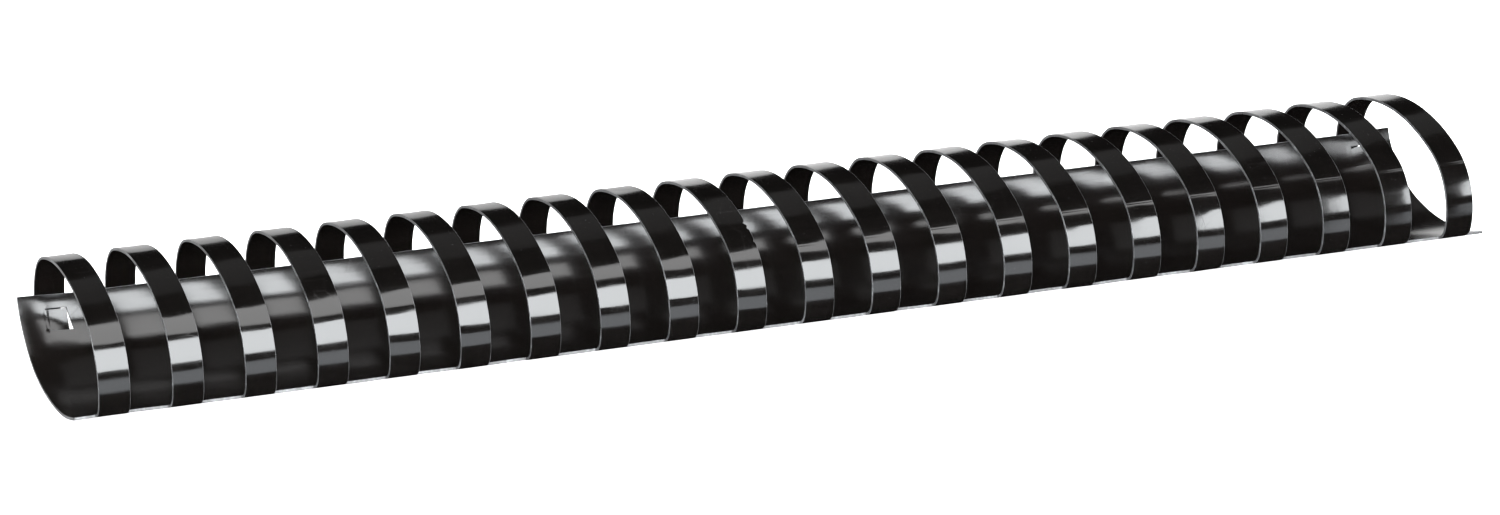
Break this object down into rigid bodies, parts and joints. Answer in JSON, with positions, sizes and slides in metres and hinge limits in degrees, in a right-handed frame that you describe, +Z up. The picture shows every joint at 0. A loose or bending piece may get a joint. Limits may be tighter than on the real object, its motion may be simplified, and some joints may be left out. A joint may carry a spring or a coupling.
{
  "type": "plastic binding comb",
  "caption": "Curled plastic spine with a row of sprung rings that open to take punched pages and close behind its back edge.",
  "frame": {"origin": "middle of the comb's box, at the level that its spine rests on", "axes": "+X along the comb, +Y to the spine's free back edge, +Z up through the crests of the rings"},
  "size_m": [0.3004, 0.0494, 0.025],
  "materials": {
    "black_pvc": "calendered sheet, glossy outside and softer on the inside of the curl"
  },
  "bodies": {
    "spine": {"spine": "black_pvc"},
    "ring_01": {"ring_01": "black_pvc"},
    "ring_02": {"ring_02": "black_pvc"},
    "ring_03": {"ring_03": "black_pvc"},
    "ring_04": {"ring_04": "black_pvc"},
    "ring_05": {"ring_05": "black_pvc"},
    "ring_06": {"ring_06": "black_pvc"},
    "ring_07": {"ring_07": "black_pvc"},
    "ring_08": {"ring_08": "black_pvc"},
    "ring_09": {"ring_09": "black_pvc"},
    "ring_10": {"ring_10": "black_pvc"},
    "ring_11": {"ring_11": "black_pvc"},
    "ring_12": {"ring_12": "black_pvc"},
    "ring_13": {"ring_13": "black_pvc"},
    "ring_14": {"ring_14": "black_pvc"},
    "ring_15": {"ring_15": "black_pvc"},
    "ring_16": {"ring_16": "black_pvc"},
    "ring_17": {"ring_17": "black_pvc"},
    "ring_18": {"ring_18": "black_pvc"},
    "ring_19": {"ring_19": "black_pvc"},
    "ring_20": {"ring_20": "black_pvc"},
    "ring_21": {"ring_21": "black_pvc"}
  },
  "joints": [
    {"name": "ring_01_flex", "type": "hinge", "parent": "spine", "child": "ring_01", "pos_m": [-0.14288, -0.02166, 0.00305], "axis": [1, 0, 0], "range_deg": [0, 60], "stiffness_Nm_per_rad": 0.004},
    {"name": "ring_02_flex", "type": "hinge", "parent": "spine", "child": "ring_02", "pos_m": [-0.12859, -0.02166, 0.00305], "axis": [1, 0, 0], "range_deg": [0, 60], "stiffness_Nm_per_rad": 0.004},
    {"name": "ring_03_flex", "type": "hinge", "parent": "spine", "child": "ring_03", "pos_m": [-0.1143, -0.02166, 0.00305], "axis": [1, 0, 0], "range_deg": [0, 60], "stiffness_Nm_per_rad": 0.004},
    {"name": "ring_04_flex", "type": "hinge", "parent": "spine", "child": "ring_04", "pos_m": [-0.10001, -0.02166, 0.00305], "axis": [1, 0, 0], "range_deg": [0, 60], "stiffness_Nm_per_rad": 0.004},
    {"name": "ring_05_flex", "type": "hinge", "parent": "spine", "child": "ring_05", "pos_m": [-0.08572, -0.02166, 0.00305], "axis": [1, 0, 0], "range_deg": [0, 60], "stiffness_Nm_per_rad": 0.004},
    {"name": "ring_06_flex", "type": "hinge", "parent": "spine", "child": "ring_06", "pos_m": [-0.07144, -0.02166, 0.00305], "axis": [1, 0, 0], "range_deg": [0, 60], "stiffness_Nm_per_rad": 0.004},
    {"name": "ring_07_flex", "type": "hinge", "parent": "spine", "child": "ring_07", "pos_m": [-0.05715, -0.02166, 0.00305], "axis": [1, 0, 0], "range_deg": [0, 60], "stiffness_Nm_per_rad": 0.004},
    {"name": "ring_08_flex", "type": "hinge", "parent": "spine", "child": "ring_08", "pos_m": [-0.04286, -0.02166, 0.00305], "axis": [1, 0, 0], "range_deg": [0, 60], "stiffness_Nm_per_rad": 0.004},
    {"name": "ring_09_flex", "type": "hinge", "parent": "spine", "child": "ring_09", "pos_m": [-0.02857, -0.02166, 0.00305], "axis": [1, 0, 0], "range_deg": [0, 60], "stiffness_Nm_per_rad": 0.004},
    {"name": "ring_10_flex", "type": "hinge", "parent": "spine", "child": "ring_10", "pos_m": [-0.01429, -0.02166, 0.00305], "axis": [1, 0, 0], "range_deg": [0, 60], "stiffness_Nm_per_rad": 0.004},
    {"name": "ring_11_flex", "type": "hinge", "parent": "spine", "child": "ring_11", "pos_m": [0, -0.02166, 0.00305], "axis": [1, 0, 0], "range_deg": [0, 60], "stiffness_Nm_per_rad": 0.004},
    {"name": "ring_12_flex", "type": "hinge", "parent": "spine", "child": "ring_12", "pos_m": [0.01429, -0.02166, 0.00305], "axis": [1, 0, 0], "range_deg": [0, 60], "stiffness_Nm_per_rad": 0.004},
    {"name": "ring_13_flex", "type": "hinge", "parent": "spine", "child": "ring_13", "pos_m": [0.02857, -0.02166, 0.00305], "axis": [1, 0, 0], "range_deg": [0, 60], "stiffness_Nm_per_rad": 0.004},
    {"name": "ring_14_flex", "type": "hinge", "parent": "spine", "child": "ring_14", "pos_m": [0.04286, -0.02166, 0.00305], "axis": [1, 0, 0], "range_deg": [0, 60], "stiffness_Nm_per_rad": 0.004},
    {"name": "ring_15_flex", "type": "hinge", "parent": "spine", "child": "ring_15", "pos_m": [0.05715, -0.02166, 0.00305], "axis": [1, 0, 0], "range_deg": [0, 60], "stiffness_Nm_per_rad": 0.004},
    {"name": "ring_16_flex", "type": "hinge", "parent": "spine", "child": "ring_16", "pos_m": [0.07144, -0.02166, 0.00305], "axis": [1, 0, 0], "range_deg": [0, 60], "stiffness_Nm_per_rad": 0.004},
    {"name": "ring_17_flex", "type": "hinge", "parent": "spine", "child": "ring_17", "pos_m": [0.08572, -0.02166, 0.00305], "axis": [1, 0, 0], "range_deg": [0, 60], "stiffness_Nm_per_rad": 0.004},
    {"name": "ring_18_flex", "type": "hinge", "parent": "spine", "child": "ring_18", "pos_m": [0.10001, -0.02166, 0.00305], "axis": [1, 0, 0], "range_deg": [0, 60], "stiffness_Nm_per_rad": 0.004},
    {"name": "ring_19_flex", "type": "hinge", "parent": "spine", "child": "ring_19", "pos_m": [0.1143, -0.02166, 0.00305], "axis": [1, 0, 0], "range_deg": [0, 60], "stiffness_Nm_per_rad": 0.004},
    {"name": "ring_20_flex", "type": "hinge", "parent": "spine", "child": "ring_20", "pos_m": [0.12859, -0.02166, 0.00305], "axis": [1, 0, 0], "range_deg": [0, 60], "stiffness_Nm_per_rad": 0.004},
    {"name": "ring_21_flex", "type": "hinge", "parent": "spine", "child": "ring_21", "pos_m": [0.14288, -0.02166, 0.00305], "axis": [1, 0, 0], "range_deg": [0, 60], "stiffness_Nm_per_rad": 0.004}
  ]
}
